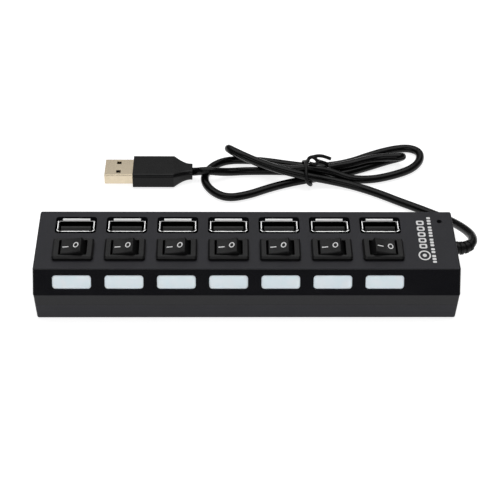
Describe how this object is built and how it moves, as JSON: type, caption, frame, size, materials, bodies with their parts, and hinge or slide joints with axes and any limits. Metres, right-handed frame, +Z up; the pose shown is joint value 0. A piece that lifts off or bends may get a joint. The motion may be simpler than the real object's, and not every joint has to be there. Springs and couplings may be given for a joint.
{
  "type": "usb hub",
  "caption": "Black desktop USB hub: a row of upright ports, each with a rocker switch and a lit window below it, and a short folded and tied cord with a USB-A plug.",
  "frame": {"origin": "middle of the case's underside", "axes": "+X along the row of ports to the right, +Y to the back where the deck is highest, +Z up"},
  "size_m": [0.168, 0.1142, 0.0258],
  "materials": {
    "case_plastic": "fine matte texture",
    "switch_plastic": "satin",
    "rocker_plastic": "matte",
    "window_plastic": "translucent satin",
    "port_steel": "bright nickel plate",
    "tongue_plastic": "matte",
    "contact_gold": "gold plate",
    "contact_brass": "plain",
    "screw_steel": "zinc plate",
    "board_green": "solder mask",
    "chip_black": "matte",
    "can_metal": "satin",
    "lamp_clear": "clear",
    "jack_plastic": "satin",
    "cord_rubber": "satin",
    "tie_plastic": "satin",
    "plug_plastic": "satin",
    "wire_plastic": "plain"
  },
  "bodies": {
    "hub": {"top_cover": "case_plastic", "base_cover": "case_plastic", "cover_screws": "screw_steel", "circuit_board": "board_green", "controller_chips": "chip_black", "crystal": "can_metal", "filter_capacitors": "can_metal", "chip_resistors": "chip_black", "port_contacts": "contact_gold", "switch_terminals": "contact_brass", "light_guide": "window_plastic", "port_leds": "lamp_clear", "power_led": "lamp_clear", "dc_jack": "jack_plastic", "dc_jack_pin": "port_steel", "strain_relief": "cord_rubber", "lead_wires": "wire_plastic", "cord_lead": "cord_rubber", "cord_hank": "cord_rubber", "cord_plug_lead": "cord_rubber", "twist_tie": "tie_plastic", "plug_body": "plug_plastic", "plug_shell": "port_steel", "plug_tongue": "tongue_plastic", "plug_contacts": "contact_gold", "port_shell_1": "port_steel", "port_shell_2": "port_steel", "port_shell_3": "port_steel", "port_shell_4": "port_steel", "port_shell_5": "port_steel", "port_shell_6": "port_steel", "port_shell_7": "port_steel", "port_tongue_1": "tongue_plastic", "port_tongue_2": "tongue_plastic", "port_tongue_3": "tongue_plastic", "port_tongue_4": "tongue_plastic", "port_tongue_5": "tongue_plastic", "port_tongue_6": "tongue_plastic", "port_tongue_7": "tongue_plastic", "switch_frame_1": "switch_plastic", "switch_frame_2": "switch_plastic", "switch_frame_3": "switch_plastic", "switch_frame_4": "switch_plastic", "switch_frame_5": "switch_plastic", "switch_frame_6": "switch_plastic", "switch_frame_7": "switch_plastic"},
    "rocker_1": {"rocker_1": "rocker_plastic"},
    "switch_lever_1": {"switch_lever_1": "contact_brass"},
    "rocker_2": {"rocker_2": "rocker_plastic"},
    "switch_lever_2": {"switch_lever_2": "contact_brass"},
    "rocker_3": {"rocker_3": "rocker_plastic"},
    "switch_lever_3": {"switch_lever_3": "contact_brass"},
    "rocker_4": {"rocker_4": "rocker_plastic"},
    "switch_lever_4": {"switch_lever_4": "contact_brass"},
    "rocker_5": {"rocker_5": "rocker_plastic"},
    "switch_lever_5": {"switch_lever_5": "contact_brass"},
    "rocker_6": {"rocker_6": "rocker_plastic"},
    "switch_lever_6": {"switch_lever_6": "contact_brass"},
    "rocker_7": {"rocker_7": "rocker_plastic"},
    "switch_lever_7": {"switch_lever_7": "contact_brass"}
  },
  "joints": [
    {"name": "rocker_1_tilt", "type": "hinge", "parent": "hub", "child": "rocker_1", "pos_m": [-0.06385, -0.00349, 0.02099], "axis": [0, 0.9903, 0.1392], "range_deg": [0, 22]},
    {"name": "lever_1_tilt", "type": "hinge", "parent": "hub", "child": "switch_lever_1", "pos_m": [-0.06385, -0.00263, 0.01485], "axis": [0, 0.9903, 0.1392], "range_deg": [-16, 0]},
    {"name": "rocker_2_tilt", "type": "hinge", "parent": "hub", "child": "rocker_2", "pos_m": [-0.04485, -0.00349, 0.02099], "axis": [0, 0.9903, 0.1392], "range_deg": [0, 22]},
    {"name": "lever_2_tilt", "type": "hinge", "parent": "hub", "child": "switch_lever_2", "pos_m": [-0.04485, -0.00263, 0.01485], "axis": [0, 0.9903, 0.1392], "range_deg": [-16, 0]},
    {"name": "rocker_3_tilt", "type": "hinge", "parent": "hub", "child": "rocker_3", "pos_m": [-0.02585, -0.00349, 0.02099], "axis": [0, 0.9903, 0.1392], "range_deg": [0, 22]},
    {"name": "lever_3_tilt", "type": "hinge", "parent": "hub", "child": "switch_lever_3", "pos_m": [-0.02585, -0.00263, 0.01485], "axis": [0, 0.9903, 0.1392], "range_deg": [-16, 0]},
    {"name": "rocker_4_tilt", "type": "hinge", "parent": "hub", "child": "rocker_4", "pos_m": [-0.00685, -0.00349, 0.02099], "axis": [0, 0.9903, 0.1392], "range_deg": [0, 22]},
    {"name": "lever_4_tilt", "type": "hinge", "parent": "hub", "child": "switch_lever_4", "pos_m": [-0.00685, -0.00263, 0.01485], "axis": [0, 0.9903, 0.1392], "range_deg": [-16, 0]},
    {"name": "rocker_5_tilt", "type": "hinge", "parent": "hub", "child": "rocker_5", "pos_m": [0.01215, -0.00349, 0.02099], "axis": [0, 0.9903, 0.1392], "range_deg": [0, 22]},
    {"name": "lever_5_tilt", "type": "hinge", "parent": "hub", "child": "switch_lever_5", "pos_m": [0.01215, -0.00263, 0.01485], "axis": [0, 0.9903, 0.1392], "range_deg": [-16, 0]},
    {"name": "rocker_6_tilt", "type": "hinge", "parent": "hub", "child": "rocker_6", "pos_m": [0.03115, -0.00349, 0.02099], "axis": [0, 0.9903, 0.1392], "range_deg": [0, 22]},
    {"name": "lever_6_tilt", "type": "hinge", "parent": "hub", "child": "switch_lever_6", "pos_m": [0.03115, -0.00263, 0.01485], "axis": [0, 0.9903, 0.1392], "range_deg": [-16, 0]},
    {"name": "rocker_7_tilt", "type": "hinge", "parent": "hub", "child": "rocker_7", "pos_m": [0.05015, -0.00349, 0.02099], "axis": [0, 0.9903, 0.1392], "range_deg": [-22, 0]},
    {"name": "lever_7_tilt", "type": "hinge", "parent": "hub", "child": "switch_lever_7", "pos_m": [0.05015, -0.00263, 0.01485], "axis": [0, 0.9903, 0.1392], "range_deg": [0, 16]}
  ],
  "couplings": [
    {"joint": "lever_1_tilt", "follows": "rocker_1_tilt", "ratio": -0.72},
    {"joint": "lever_2_tilt", "follows": "rocker_2_tilt", "ratio": -0.72},
    {"joint": "lever_3_tilt", "follows": "rocker_3_tilt", "ratio": -0.72},
    {"joint": "lever_4_tilt", "follows": "rocker_4_tilt", "ratio": -0.72},
    {"joint": "lever_5_tilt", "follows": "rocker_5_tilt", "ratio": -0.72},
    {"joint": "lever_6_tilt", "follows": "rocker_6_tilt", "ratio": -0.72},
    {"joint": "lever_7_tilt", "follows": "rocker_7_tilt", "ratio": -0.72}
  ]
}
